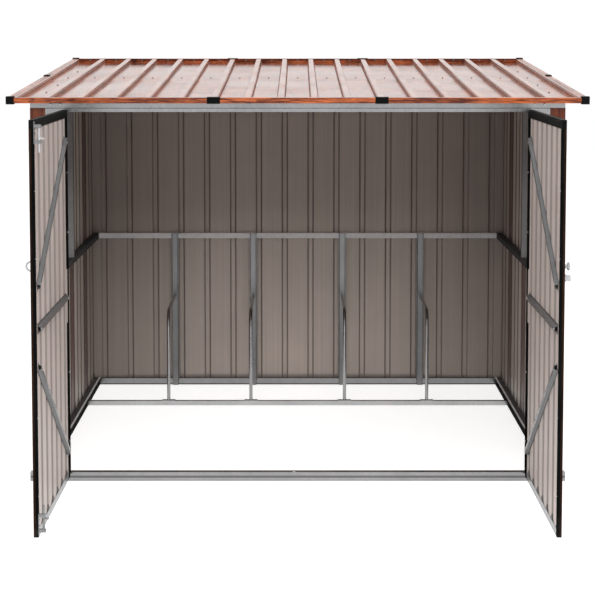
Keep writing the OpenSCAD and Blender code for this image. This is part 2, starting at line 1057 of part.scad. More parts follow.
front_sill();
rear_base_rail();
side_base_rails();
front_jambs();
front_header();
rear_top_rail();
side_top_rails();
roof_purlin();
side_mid_rails();
rear_mid_rail();
side_posts();
side_walls();
rear_wall();
front_corner_trims();
rear_corner_trims();
roof_lower_sheet();
roof_upper_sheet();
roof_front_trim();
roof_rear_trim();
roof_side_trims();
roof_corner_caps();
roof_trim_joiners();
rack_floor_rail();
rack_posts();
rack_holders();
door_hinge_brackets();
left_door_sheet();
left_door_stiles();
left_door_top_rail();
left_door_bottom_rail();
left_door_braces();
left_door_hinge_eyes();
left_door_pull();
left_door_bolt_guides();
top_bolt();
bottom_bolt();
right_door_sheet();
right_door_stiles();
right_door_top_rail();
right_door_bottom_rail();
right_door_braces();
right_door_hinge_eyes();
right_door_knob();
right_door_lock();
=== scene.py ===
import json
import math

import bpy
import numpy as np
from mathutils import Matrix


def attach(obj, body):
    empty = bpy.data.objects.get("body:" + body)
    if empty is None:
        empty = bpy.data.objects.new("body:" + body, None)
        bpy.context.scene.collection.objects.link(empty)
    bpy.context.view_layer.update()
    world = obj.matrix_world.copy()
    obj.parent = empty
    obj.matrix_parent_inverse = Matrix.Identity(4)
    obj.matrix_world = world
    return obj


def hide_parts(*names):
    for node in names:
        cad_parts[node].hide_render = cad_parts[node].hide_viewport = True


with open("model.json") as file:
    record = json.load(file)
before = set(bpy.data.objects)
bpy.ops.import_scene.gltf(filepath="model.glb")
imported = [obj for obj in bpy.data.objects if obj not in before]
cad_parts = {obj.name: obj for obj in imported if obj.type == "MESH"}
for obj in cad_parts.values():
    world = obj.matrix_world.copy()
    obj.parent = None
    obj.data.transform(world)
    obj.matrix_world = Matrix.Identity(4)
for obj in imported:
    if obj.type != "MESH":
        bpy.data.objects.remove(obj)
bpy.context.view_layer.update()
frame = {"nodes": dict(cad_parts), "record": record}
nodes = frame["nodes"]
print("frame loaded:", len(nodes), "nodes")


# small helpers for shader trees

def put(tree, kind, inputs=None, **settings):
    node = tree.nodes.new("ShaderNode" + kind)
    for key, value in settings.items():
        setattr(node, key, value)
    for key, value in (inputs or {}).items():
        if isinstance(value, bpy.types.NodeSocket):
            tree.links.new(value, node.inputs[key])
        else:
            node.inputs[key].default_value = value
    return node


def calc(tree, operation, *values, clamp=False):
    return put(tree, "Math", dict(enumerate(values)), operation=operation, use_clamp=clamp).outputs[0]


def strongest(tree, first, *others):
    for other in others:
        first = calc(tree, "MAXIMUM", first, other)
    return first


def mixColour(tree, factor, first, second, blend="MIX"):
    node = put(tree, "Mix", {0: factor, 6: first, 7: second}, data_type="RGBA", blend_type=blend)
    return node.outputs[2]


def shaded(tree, colour, shade):
    grey = put(tree, "CombineColor", {"Red": shade, "Green": shade, "Blue": shade}).outputs["Color"]
    return mixColour(tree, 1.0, colour, grey, "MULTIPLY")


def between(tree, value, low, high, toLow=0.0, toHigh=1.0):
    sockets = {"Value": value, "From Min": low, "From Max": high, "To Min": toLow, "To Max": toHigh}
    return put(tree, "MapRange", sockets).outputs["Result"]


def axes(tree, vector):
    return put(tree, "SeparateXYZ", {"Vector": vector}).outputs


def stretched(tree, vector, scale):
    return put(tree, "Mapping", {"Vector": vector, "Scale": scale}).outputs["Vector"]


# the printed grain runs along Z, so the axis that it should follow is put last
def turnedGrain(tree, spot, along):
    order = {"X": "YZX", "Y": "XZY", "Z": "XYZ"}[along]
    return put(tree, "CombineXYZ", {i: spot[a] for i, a in enumerate(order)}).outputs[0]


def noise(tree, vector, scale, detail=3.0, roughness=0.55, distortion=0.0):
    sockets = {"Vector": vector, "Scale": scale, "Detail": detail, "Roughness": roughness,
               "Distortion": distortion}
    return put(tree, "TexNoise", sockets).outputs["Fac"]


def makeGroup(name, inputs, outputs):
    group = bpy.data.node_groups.new(name, "ShaderNodeTree")
    for socket, kind in inputs:
        group.interface.new_socket(socket, in_out="INPUT", socket_type="NodeSocket" + kind)
    for socket, kind in outputs:
        group.interface.new_socket(socket, in_out="OUTPUT", socket_type="NodeSocket" + kind)
    return group, group.nodes.new("NodeGroupInput").outputs, group.nodes.new("NodeGroupOutput").inputs


def placeGroup(tree, group, sockets):
    return put(tree, "Group", sockets, node_tree=group).outputs


def newFinish(name, **fixed):
    material = bpy.data.materials.new(name)
    material.use_nodes = True
    tree = material.node_tree
    shader = tree.nodes["Principled BSDF"]
    for key, value in fixed.items():
        shader.inputs[key.replace("_", " ")].default_value = value
    return material, tree, shader


def feed(tree, shader, height=None, bumpStrength=0.0, bumpDistance=0.0003, **links):
    for key, socket in links.items():
        tree.links.new(socket, shader.inputs[key.replace("_", " ")])
    if height is not None:
        bump = put(tree, "Bump", {"Height": height, "Strength": bumpStrength, "Distance": bumpDistance})
        tree.links.new(bump.outputs["Normal"], shader.inputs["Normal"])


# effects that several finishes share

timberLook = {
    "light": (0.52, 0.132, 0.042, 1), "dark": (0.085, 0.015, 0.008, 1), "fleck": 0.45, "plank": (5, 5, 0.7),
    "streak": (60, 60, 3.0), "grain": (190, 190, 16), "pore": (420, 420, 9), "knot": (9, 9, 5),
    "trim": (0.62, 0.157, 0.05), "trimFleck": 0.62, "dull": 0.26, "shiny": 0.16, "bump": 0.08,
}


# printed timber: long streaks along Z, darker pores and knots, and a slow change from plank to plank;
# more fleck than on the sheets also burns the dark streaks deeper
def timberGroup():
    look = timberLook
    group, given, out = makeGroup(
        "printedTimber",
        [("Vector", "Vector"), ("Light", "Color"), ("Dark", "Color"), ("Fleck", "Float")],
        [("Color", "Color"), ("Height", "Float")],
    )
    vector = given["Vector"]
    plank = noise(group, stretched(group, vector, look["plank"]), 3.0, 2.0)
    streak = noise(group, stretched(group, vector, look["streak"]), 1.0, 4.0, 0.6, 0.6)
    grain = noise(group, stretched(group, vector, look["grain"]), 1.0, 3.0, 0.6, 0.8)
    pore = noise(group, stretched(group, vector, look["pore"]), 1.0, 2.0, 0.5)
    knot = noise(group, stretched(group, vector, look["knot"]), 1.0, 1.0, 0.4, 1.2)
    body = between(group, streak, 0.36, 0.66, 0.0, 0.55)
    body = calc(group, "ADD", body, between(group, plank, 0.3, 0.7, -0.12, 0.12))
    body = calc(group, "ADD", body, between(group, grain, 0.41, 0.6, 0.0, 0.5))
    extra = calc(group, "SUBTRACT", given["Fleck"], look["fleck"], clamp=True)
    burn = calc(group, "MULTIPLY", between(group, streak, 0.5, 0.4), extra)
    fleck = between(group, pore, 0.56, 0.68, 0.0, given["Fleck"])
    knots = between(group, knot, 0.68, 0.78, 0.0, 0.5)
    value = calc(group, "SUBTRACT", calc(group, "SUBTRACT", body, burn), fleck)
    value = calc(group, "SUBTRACT", value, knots, clamp=True)
    group.links.new(mixColour(group, value, given["Dark"], given["Light"]), out["Color"])
    group.links.new(value, out["Height"])
    return group


coatLook = {"cloud": 2.6, "lines": (90, 90, 0.8), "peel": 520.0, "change": 0.07}


# coil-coated paint: cloudy tone, faint draw lines along the sheet and a fine orange peel
def coatGroup():
    group, given, out = makeGroup(
        "coilCoat",
        [("Vector", "Vector"), ("Tone", "Color")],
        [("Color", "Color"), ("Roughness", "Float"), ("Height", "Float")],
    )
    vector = given["Vector"]
    cloud = noise(group, vector, coatLook["cloud"], 3.0)
    lines = noise(group, stretched(group, vector, coatLook["lines"]), 1.0, 2.0)
    tone = between(group, cloud, 0.3, 0.7, -1.0, 1.0)
    tone = calc(group, "ADD", tone, between(group, lines, 0.35, 0.65, -0.6, 0.6))
    shade = calc(group, "ADD", calc(group, "MULTIPLY", tone, coatLook["change"]), 1.0)
    group.links.new(shaded(group, given["Tone"], shade), out["Color"])
    group.links.new(between(group, cloud, 0.3, 0.7, 0.44, 0.56), out["Roughness"])
    group.links.new(noise(group, vector, coatLook["peel"], 2.0), out["Height"])
    return group


zincLook = {
    "coarse": 90.0, "fine": 260.0, "warp": 55.0, "warpBy": (0.008, 0.008, 0.008), "cloud": 6.0, "skin": 130.0,
    "blue": 1.02, "dustReach": 0.05, "dustAmount": 0.15, "dull": 0.35, "rimShade": (0.06, 0.05, 0.045, 1),
    "rimShare": 0.92, "bump": 0.04,
}


# hot-dip zinc: crystals with their own brightness and gloss, a slow cloud over them and an uneven skin
def zincGroup():
    group, given, out = makeGroup(
        "zincSpangle",
        [("Vector", "Vector"), ("Tone", "Color"), ("Crystal", "Float")],
        [("Color", "Color"), ("Roughness", "Float"), ("Height", "Float")],
    )
    vector = given["Vector"]
    warp = put(group, "TexNoise", {"Vector": vector, "Scale": zincLook["warp"]}).outputs["Color"]
    shift = put(group, "VectorMath", {0: warp, 1: zincLook["warpBy"]}, operation="MULTIPLY").outputs[0]
    moved = put(group, "VectorMath", {0: vector, 1: shift}, operation="ADD").outputs[0]
    crystal = put(group, "TexVoronoi", {"Vector": moved, "Scale": given["Crystal"]}).outputs["Color"]
    leaf = put(group, "SeparateColor", {"Color": crystal}).outputs["Red"]
    cloud = noise(group, vector, zincLook["cloud"], 3.0)
    shade = between(group, leaf, 0.0, 1.0, 0.94, 1.05)
    shade = calc(group, "ADD", shade, between(group, cloud, 0.3, 0.7, -0.08, 0.08))
    group.links.new(shaded(group, given["Tone"], shade), out["Color"])
    group.links.new(between(group, leaf, 0.0, 1.0, 0.2, 0.27), out["Roughness"])
    group.links.new(noise(group, vector, zincLook["skin"], 2.0), out["Height"])
    return group


dustLook = {"colour": (0.42, 0.38, 0.33, 1), "patch": 24.0}


# dust that settles near the ground: strongest at z = 0, gone at the given height, broken up by noise
def dustGroup():
    group, given, out = makeGroup(
        "groundDust",
        [("Vector", "Vector"), ("Color", "Color"), ("Reach", "Float"), ("Amount", "Float")],
        [("Color", "Color")],
    )
    height = axes(group, given["Vector"])["Z"]
    fade = calc(group, "SUBTRACT", 1.0, calc(group, "DIVIDE", height, given["Reach"]), clamp=True)
    patch = between(group, noise(group, given["Vector"], dustLook["patch"], 4.0), 0.35, 0.7)
    mask = calc(group, "MULTIPLY", calc(group, "MULTIPLY", fade, patch), given["Amount"], clamp=True)
    group.links.new(mixColour(group, mask, given["Color"], dustLook["colour"]), out["Color"])
    return group


foldLook = {"pitch": 0.123, "edge": 0.0005, "toothLow": 0.056, "toothHigh": 0.012, "toothEdge": 0.006}


# rib folds: the place inside one pitch gives masks on the flanks, on the whole rib and on the lines at its
# foot, and the hollow mask is a tooth over each rib, nearly as wide as the pitch at the floor and narrow one
# tooth's height above it
def foldGroup():
    group, given, out = makeGroup(
        "ribFolds",
        [(name, "Float") for name in ("Across", "Height", "Floor", "Foot", "Crown", "Soft", "Tooth")],
        [(name, "Float") for name in ("Flank", "Whole", "Line", "Hollow")],
    )
    share = calc(group, "FRACT", calc(group, "DIVIDE", given["Across"], foldLook["pitch"]))
    local = calc(group, "MULTIPLY", calc(group, "SUBTRACT", share, 0.5), foldLook["pitch"])
    wide = calc(group, "ABSOLUTE", local)
    past = calc(group, "SUBTRACT", wide, given["Foot"])
    fall = calc(group, "DIVIDE", calc(group, "ADD", past, foldLook["edge"]), given["Soft"])
    whole = calc(group, "SUBTRACT", 1.0, fall, clamp=True)
    steep = between(group, calc(group, "SUBTRACT", wide, given["Crown"]), -0.0015, 0.0005)
    nearFoot = between(group, past, -0.003, -0.001)
    line = calc(group, "MULTIPLY", nearFoot, between(group, past, 0.0005, 0.002, 1.0, 0.0))
    rise = calc(group, "DIVIDE", calc(group, "SUBTRACT", given["Height"], given["Floor"]), given["Tooth"])
    reach = between(group, rise, 0.0, 1.0, foldLook["toothLow"], foldLook["toothHigh"])
    tooth = between(group, calc(group, "SUBTRACT", reach, wide), 0.0, foldLook["toothEdge"])
    group.links.new(calc(group, "MULTIPLY", steep, whole), out["Flank"])
    group.links.new(whole, out["Whole"])
    group.links.new(line, out["Line"])
    group.links.new(calc(group, "MULTIPLY", tooth, between(group, rise, 0.8, 1.1, 1.0, 0.0)), out["Hollow"])
    return group


timber, coat, zinc, dust, folds = timberGroup(), coatGroup(), zincGroup(), dustGroup(), foldGroup()
print("shared effects made")


def printed(tree, vector, light=timberLook["light"], dark=timberLook["dark"], fleck=timberLook["fleck"]):
    return placeGroup(tree, timber, {"Vector": vector, "Light": light, "Dark": dark, "Fleck": fleck})


def dusted(tree, vector, colour, look):
    sockets = {"Vector": vector, "Color": colour, "Reach": look["dustReach"], "Amount": look["dustAmount"]}
    return placeGroup(tree, dust, sockets)["Color"]


# finishes

sheetLook = {
    "inner": (0.55, 0.472, 0.425, 1), "paintedShade": (0.035, 0.028, 0.025, 1), "strip": (0.18, 0.095, 0.082, 1),
    "footShadow": (0.05, 0.012, 0.008, 1), "ribHighlight": (0.72, 0.42, 0.30, 1), "gloss": 0.36, "lapStart": 0.0524,
    "lapPitch": 0.492, "lapShare": 0.2, "lowShadeFrom": 0.004, "lowShadeTo": 0.022, "dustReach": 0.16,
    "dustAmount": 0.16, "peelIn": 0.5, "peelOut": 0.08, "bump": 0.1,
}


# the mask is 1 where the object-space normal points out of the shed, so one sheet has two finishes;
# inside, painted shade lies on the rib flanks, over whole ribs, in a tooth over each rib near the floor and in
# a band just over the floor, and one pan beside each lapped rib is darker;
# outside, a painted shadow lies along the ribs' feet and a painted highlight over the ribs;
# corner is (start, end, strength) of the painted shade that grows towards the rear corners
def sheetFinish(name, facing, along="Z", ribAxis="X", ribShift=0.0, floor=0.03, foot=0.015, crown=0.009,
                flank=0.5, soft=0.002, rib=0.0, hollow=0.4, tooth=0.045, lowShade=0.0, line=0.25, ribHighlight=0.0,
                laps=False, corner=None, inner=sheetLook["inner"]):
    look = sheetLook
    material, tree, shader = newFinish(name, Coat_Weight=0.0, Specular_IOR_Level=0.5)
    place = put(tree, "TexCoord").outputs
    spot, normal = axes(tree, place["Object"]), axes(tree, place["Normal"])
    if facing == "side":
        out = calc(tree, "MULTIPLY", normal["X"], calc(tree, "SIGN", spot["X"]))
    else:
        out = normal["Y" if facing == "rear" else "Z"]
    outside = calc(tree, "GREATER_THAN", out, 0.0)
    turned = turnedGrain(tree, spot, along)
    wood = printed(tree, turned)
    paint = placeGroup(tree, coat, {"Vector": turned, "Tone": inner})
    fold = placeGroup(tree, folds, {
        "Across": calc(tree, "SUBTRACT", spot[ribAxis], ribShift), "Height": spot["Z"], "Floor": floor,
        "Foot": foot, "Crown": crown, "Soft": soft, "Tooth": tooth,
    })
    # painted shade on the rib flanks, over the teeth near the floor, over whole ribs and in a band just over
    # the floor
    paintedShade = strongest(
        tree, calc(tree, "MULTIPLY", fold["Flank"], flank), calc(tree, "MULTIPLY", fold["Hollow"], hollow),
        calc(tree, "MULTIPLY", fold["Whole"], rib),
        between(tree, spot["Z"], floor + look["lowShadeFrom"], floor + look["lowShadeTo"], lowShade, 0.0),
    )
    # painted shade that grows towards the rear corners
    if corner:
        deep = calc(tree, "ABSOLUTE", spot["X"]) if facing == "rear" else spot["Y"]
        start, end, strength = corner
        paintedShade = strongest(tree, paintedShade, between(tree, deep, start, end, 0.0, strength))
    back = paint["Color"]
    if laps:
        step = calc(tree, "DIVIDE", calc(tree, "SUBTRACT", spot["Y"], look["lapStart"]), look["lapPitch"])
        lapped = calc(tree, "LESS_THAN", calc(tree, "FRACT", step), look["lapShare"])
        back = mixColour(tree, lapped, back, look["strip"])
    back = mixColour(tree, paintedShade, back, look["paintedShade"])
    # a painted shadow along each rib's foot, outside only, which also dulls the finish there
    edge = calc(tree, "MULTIPLY", calc(tree, "MULTIPLY", fold["Line"], outside), line)
    # the ribs are lightened towards a pale tint, a painted highlight
    face = mixColour(tree, calc(tree, "MULTIPLY", fold["Whole"], ribHighlight), wood["Color"], look["ribHighlight"])
    face = mixColour(tree, edge, face, look["footShadow"])
    colour = dusted(tree, place["Object"], mixColour(tree, outside, back, face), look)
    rough = calc(tree, "SUBTRACT", paint["Roughness"], calc(tree, "MULTIPLY", outside, look["gloss"]))
    rough = calc(tree, "ADD", rough, edge, clamp=True)
    peel = between(tree, outside, 0.0, 1.0, look["peelIn"], look["peelOut"])
    height = calc(tree, "MULTIPLY", paint["Height"], peel)
    feed(tree, shader, height, look["bump"], Base_Color=colour, Roughness=rough)
    return material


def timberFinish(name, along, shade=1.0):
    material, tree, shader = newFinish(name, Specular_IOR_Level=0.3)
    turned = turnedGrain(tree, axes(tree, put(tree, "TexCoord").outputs["Object"]), along)
    light = tuple(shade * c for c in timberLook["trim"]) + (1,)
    wood = printed(tree, turned, light, fleck=timberLook["trimFleck"])
    rough = between(tree, wood["Height"], 0.0, 1.0, timberLook["dull"], timberLook["shiny"])
    feed(tree, shader, wood["Height"], timberLook["bump"], Base_Color=wood["Color"], Roughness=rough)
    return material


# a band is (low, high, colour, strength) in height, for painted shade in a groove and at a rail's foot; side is
# how much light the faces across X keep, and these faces are dull; past the rim, counted from the middle of the
# shed, painted shade lies on top
def zincFinish(name, tone, crystal=zincLook["coarse"], shine=0.0, band=None, side=1.0, metal=1.0, glint=0.2,
               rim=None):
    look = zincLook
    material, tree, shader = newFinish(name, Metallic=metal, Specular_IOR_Level=glint)
    place = put(tree, "TexCoord").outputs
    spot = axes(tree, place["Object"])
    grey = (tone, tone, look["blue"] * tone, 1)
    steel = placeGroup(tree, zinc, {"Vector": place["Object"], "Tone": grey, "Crystal": crystal})
    colour = dusted(tree, place["Object"], steel["Color"], look)
    rough = calc(tree, "SUBTRACT", steel["Roughness"], shine)
    if side < 1.0:
        turn = axes(tree, place["Normal"])["X"]
        across = calc(tree, "GREATER_THAN", calc(tree, "ABSOLUTE", turn), 0.5)
        colour = mixColour(tree, across, colour, (side * tone, side * tone, side * tone, 1))
        rough = calc(tree, "ADD", rough, calc(tree, "MULTIPLY", across, look["dull"]))
        feed(tree, shader, Metallic=between(tree, across, 0.0, 1.0, metal, 0.0))
    # past the rim the top is darkened, a painted shade
    if rim:
        far = calc(tree, "GREATER_THAN", calc(tree, "ABSOLUTE", spot["X"]), rim)
        colour = mixColour(tree, calc(tree, "MULTIPLY", far, look["rimShare"]), colour, look["rimShade"])
    # the band darkens a strip in height, a painted shade
    if band:
        low, high, paint, strength = band
        over, under = calc(tree, "GREATER_THAN", spot["Z"], low), calc(tree, "LESS_THAN", spot["Z"], high)
        share = calc(tree, "MULTIPLY", calc(tree, "MULTIPLY", over, under), strength)
        colour = mixColour(tree, share, colour, paint)
    feed(tree, shader, steel["Height"], look["bump"], Base_Color=colour, Roughness=rough)
    return material


blackLook = {
    "coat": (0.005, 0.0058, 0.0056, 1), "rubbed": (0.011, 0.012, 0.0115, 1),
    "printLight": (0.045, 0.02, 0.013, 1), "printDark": (0.012, 0.007, 0.005, 1), "rub": (8, 8, 3),
    "grit": 900.0, "glint": 0.04, "dustReach": 0.1, "dustAmount": 0.12, "bump": 0.15,
}


# black powder coat: fine bumps, slightly greyer where hands and the ground rub it;
# past printFrom, counted from the middle of the shed, it carries a dark timber print
def blackFinish(name, printFrom=None):
    look = blackLook
    material, tree, shader = newFinish(name, Specular_IOR_Level=0.0 if printFrom else look["glint"])
    place = put(tree, "TexCoord").outputs["Object"]
    rub = noise(tree, stretched(tree, place, look["rub"]), 1.0, 4.0)
    colour = mixColour(tree, between(tree, rub, 0.45, 0.8), look["coat"], look["rubbed"])
    if printFrom:
        wood = printed(tree, place, look["printLight"], look["printDark"])
        out = calc(tree, "GREATER_THAN", calc(tree, "ABSOLUTE", axes(tree, place)["X"]), printFrom)
        colour = mixColour(tree, out, colour, wood["Color"])
    colour = dusted(tree, place, colour, look)
    rough = between(tree, rub, 0.3, 0.7, 0.5, 0.64)
    grit = noise(tree, place, look["grit"], 2.0)
    feed(tree, shader, grit, look["bump"], Base_Color=colour, Roughness=rough)
    return material


# the side walls, the doors and the rear wall get lighter copies of the one inner paint, painted light
sideSheet = sheetFinish("sideSheet", "side", ribAxis="Y", ribShift=0.95985, flank=0.95, soft=0.005, hollow=0.95,
                        laps=True, corner=(0.8, 1.95, 0.53), inner=(0.83, 0.712, 0.641, 1))
rearSheet = sheetFinish("rearSheet", "rear", hollow=0.0, lowShade=0.6, corner=(0.4, 0.97, 0.38),
                        inner=(0.58, 0.498, 0.448, 1))
roofSheet = sheetFinish("roofSheet", "roof", "Y", floor=-1.0, foot=0.0155, crown=0.0105, line=0.45, ribHighlight=0.15)
doorSheet = sheetFinish("doorSheet", "side", ribAxis="Y", ribShift=-0.45925, floor=0.05, flank=0.6, soft=0.018,
                        rib=0.4, hollow=0.95, tooth=0.025, inner=(0.75, 0.64, 0.595, 1))
trimX = timberFinish("timberTrimX", "X", 1.2)
trimY = timberFinish("timberTrimY", "Y")
# the corner trims get a darker copy of the print, painted shade
trimZ = timberFinish("shadedTimberTrimZ", "Z", 0.32)
galvanised = zincFinish("galvanisedSteel", 0.35)
sillSteel = zincFinish("sillSteel", 0.29, band=(0.0132, 0.0208, (0.11, 0.11, 0.112, 1), 0.8))
rearSteel = zincFinish("rearSteel", 0.25, band=(-1.0, 0.005, (0.02, 0.02, 0.02, 1), 0.95))
# lit and shaded copies of the galvanised steel, painted light: the side base rails and the rear mid rail are
# made lighter, the side mid rails and the braces darker
litBaseRailSteel = zincFinish("litBaseRailSteel", 0.95, side=0.05, metal=0.0, glint=0.0, rim=0.953)
shadedSideRailSteel = zincFinish("shadedSideRailSteel", 0.1, metal=0.0, glint=0.0)
litRearRailSteel = zincFinish("litRearRailSteel", 0.92, metal=0.0)
postSteel = zincFinish("postSteel", 0.34, side=0.3, metal=0.1)
shadedBraceSteel = zincFinish("shadedBraceSteel", 0.17, metal=0.2, glint=0.1)
jambSteel = zincFinish("jambSteel", 0.35, side=0.04, glint=0.0)
footSteel = zincFinish("footSteel", 0.3, metal=0.3, glint=0.05)
rackSteel = zincFinish("rackSteel", 0.46)
rackPostSteel = zincFinish("rackPostSteel", 0.2, metal=0.7)
bright = zincFinish("brightZinc", 0.46, zincLook["fine"], shine=0.06)
satin = zincFinish("satinZinc", 0.58, zincLook["fine"], metal=0.3)
boltSteel = zincFinish("boltZinc", 0.24, zincLook["fine"], metal=0.3)
black = blackFinish("blackCoat")
stileBlack = blackFinish("stileCoat", printFrom=0.8556)

finishOf = {
    "side_walls": sideSheet, "rear_wall": rearSheet, "front_corner_trims": trimZ, "rear_corner_trims": trimZ,
    "roof_lower_sheet": roofSheet, "roof_upper_sheet": roofSheet, "roof_front_trim": trimX,
    "roof_rear_trim": trimX, "roof_side_trims": trimY, "front_sill": sillSteel, "front_jambs": jambSteel,
    "side_base_rails": litBaseRailSteel, "side_mid_rails": shadedSideRailSteel, "side_posts": postSteel,
    "rear_base_rail": rearSteel, "rear_mid_rail": litRearRailSteel, "rack_floor_rail": rackSteel,
    "rack_posts": rackPostSteel, "left_door_sheet": doorSheet, "right_door_sheet": doorSheet,
    "left_door_braces": shadedBraceSteel, "right_door_braces": shadedBraceSteel, "left_door_stiles": stileBlack,
    "right_door_stiles": stileBlack, "left_door_bottom_rail": footSteel, "right_door_bottom_rail": footSteel,
    "right_door_knob": satin, "right_door_lock": satin, "left_door_pull": satin,
    "left_door_bolt_guides": boltSteel, "top_bolt": satin, "bottom_bolt": boltSteel,
}
slotFinish = {"galvanised_steel": galvanised, "black_trim": black, "bright_hardware": bright,
              "printed_sheet": trimZ}
slotOf = {s["node"]: s["material_slot"] for s in frame["record"]["subparts"]}
for name, obj in nodes.items():
    finish = finishOf.get(name, slotFinish[slotOf[name]])
    for slot in obj.material_slots:
        slot.material = finish
print("finishes set")


# new surfaces

# straight runs whose inner corners P are rounded by (1 - s)^2 A + 2 s (1 - s) P + s^2 B,
# where A and B lie the given reach from P on its two runs, but at most a share of the run away;
# a point a little past A and B keeps the flats flat
def roundedPath(corners, reach, steps=4, share=0.4, past=1.15):
    before, here, after = corners[:-2], corners[1:-1], corners[2:]
    lead = np.linalg.norm(before - here, axis=1)[:, None]
    tail = np.linalg.norm(after - here, axis=1)[:, None]
    cut = np.minimum(reach, share * np.minimum(lead, tail))
    ahead, behind = (before - here) / lead * cut, (after - here) / tail * cut
    a, b = here + ahead, here + behind
    s = np.linspace(0.0, 1.0, steps + 1)[None, :, None]
    bend = (1 - s) ** 2 * a[:, None] + 2 * s * (1 - s) * here[:, None] + s ** 2 * b[:, None]
    bend = np.concatenate([(here + past * ahead)[:, None], bend, (here + past * behind)[:, None]], axis=1)
    return np.vstack([corners[:1], bend.reshape(-1, 2), corners[-1:]])


# each point moves along the mean normal of its two runs, so the sheet keeps its thickness round the bends
def offsetPath(path, thickness):
    run = np.diff(path, axis=0)
    side = np.c_[-run[:, 1], run[:, 0]] / np.linalg.norm(run, axis=1)[:, None]
    first, second = np.vstack([side[:1], side]), np.vstack([side, side[-1:]])
    return path + thickness * (first + second) / (1 + (first * second).sum(1, keepdims=True))


# sections are closed outlines, one path forwards and its other face backwards,
# joined along the sweep and capped
def sweptShell(sections):
    count, loop = sections.shape[:2]
    index = np.arange(count * loop).reshape(count, loop)
    after = np.roll(index, -1, axis=1)
    skin = np.stack([index[:-1], after[:-1], after[1:], index[1:]], -1).reshape(-1, 4)
    i = np.arange(loop // 2 - 1)
    low, high = index[0], index[-1]
    capLow = np.stack([low[i + 1], low[i], low[loop - 1 - i], low[loop - 2 - i]], -1)
    capHigh = np.stack([high[i], high[i + 1], high[loop - 2 - i], high[loop - 1 - i]], -1)
    verts, faces = sections.reshape(-1, 3), np.vstack([skin, capLow, capHigh])
    a, b, c, d = (verts[faces[:, k]] for k in range(4))
    volume = (a * (np.cross(b, c) + np.cross(c, d))).sum()  # below zero where the shell is inside out
    return verts, faces if volume > 0 else faces[:, ::-1]


def outline(path, other):
    return np.vstack([path, other[::-1]])


def joined(shells):
    starts = np.cumsum([0] + [len(v) for v, f in shells[:-1]])
    return np.vstack([v for v, f in shells]), np.vstack([f + n for (v, f), n in zip(shells, starts)])


def addPiece(name, verts, faces, body, slotName, finish, hides=(), crease=40.0):
    mesh = bpy.data.meshes.new(name)
    mesh.from_pydata(verts.tolist(), [], faces if isinstance(faces, list) else faces.tolist())
    mesh.polygons.foreach_set("use_smooth", np.ones(len(mesh.polygons), bool))
    mesh.set_sharp_from_angle(angle=math.radians(crease))
    mesh.materials.append(finish)
    piece = bpy.data.objects.new(name, mesh)
    bpy.context.collection.objects.link(piece)
    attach(piece, body)
    if hides:
        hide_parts(*hides)
    return piece


# ribs: four corners each, at the foot and at the crown
def ribCorners(centres, foot, crown, height):
    across = np.array([-foot, -crown, crown, foot]) / 2
    up = np.broadcast_to([0.0, height, height, 0.0], (len(centres), 4))
    return np.stack([centres[:, None] + across, up], -1).reshape(-1, 2)


# places of a number of ribs, one pitch apart, about a middle
def ribCentres(count, middle=0.0):
    return middle + (np.arange(count) - (count - 1) / 2) * wall["pitch"]


wall = {
    "pitch": 0.123, "foot": 0.030, "crown": 0.018, "height": 0.010, "sheet": 0.0007, "bend": 0.0025, "ribs": 16,
    "sideX": 0.9732, "sideStart": -0.0118, "sideEnd": 1.9315, "sideLaps": (5, 9, 13), "rearY": 1.9322,
    "rearX": 0.9725, "rearLaps": (4, 8, 12), "lapOut": 0.0008, "lapPast": 0.009, "low": 0.0012,
    "topGap": 0.0005, "sillTop": 0.034, "sillBack": 0.0155, "notch": 1e-4,
}
roof = {
    "slope": math.radians(3.34), "startY": -0.063, "frontY": -0.015, "frontZ": 1.417, "run": 2.0280,
    "foot": 0.031, "crown": 0.021, "height": 0.018, "ribs": 18, "bend": 0.0025, "lap": 0.018, "seat": 0.0001,
    "lift": 0.00165, "edge": 0.0013, "ramp": 0.06, "hug": 0.00015, "sink": -0.0002,
}
roof["length"] = roof["run"] / math.cos(roof["slope"])


def roofZ(y):
    return roof["frontZ"] + (y - roof["frontY"]) * math.tan(roof["slope"])


# a point of the roof from its place across, its distance up the slope and its height over the roof plane
def onRoof(x, s, n):
    c, t = math.cos(roof["slope"]), math.sin(roof["slope"])
    y, z = roof["startY"] + s * c - n * t, roofZ(roof["startY"]) + s * t + n * c
    return np.stack(np.broadcast_arrays(x, y, z), -1)


# a wall is a few sheets side by side; the last rib of each lies over the first rib of the next one,
# and a sheet that starts at the front has two close points where its low edge steps up over the sill
def wallSheets(start, end, laps):
    count = wall["ribs"]
    centres = ribCentres(count, (start + end) / 2)
    bounds = [0, *laps, count - 1]
    past = wall["foot"] / 2 + wall["lapPast"]
    sillBack, notch = wall["sillBack"], wall["notch"]
    loops = []
    for first, last in zip(bounds[:-1], bounds[1:]):
        corners = ribCorners(centres[first:last + 1], wall["foot"], wall["crown"], wall["height"])
        head = start if first == 0 else centres[first] - past
        tail = end if last == count - 1 else centres[last] + past
        corners = np.vstack([[head, 0.0], corners, [tail, 0.0]])
        if last < count - 1:
            corners[-5:, 1] += wall["lapOut"]
        if head < sillBack < corners[1, 0]:
            corners = np.insert(corners, 1, [[sillBack - notch, 0.0], [sillBack + notch, 0.0]], axis=0)
        path = roundedPath(corners, wall["bend"])
        loops.append(outline(path, offsetPath(path, -wall["sheet"])))
    return loops


# a wall stands on its low edge and ends just under the roof plane
def wallShell(x, y, low):
    return sweptShell(np.stack([np.c_[x, y, low], np.c_[x, y, roofZ(y) - wall["topGap"]]]))


def sideShell(loop, side):
    x, y = side * (wall["sideX"] + loop[:, 1]), loop[:, 0]
    return wallShell(x, y, np.where(y < wall["sillBack"], wall["sillTop"], wall["low"]))


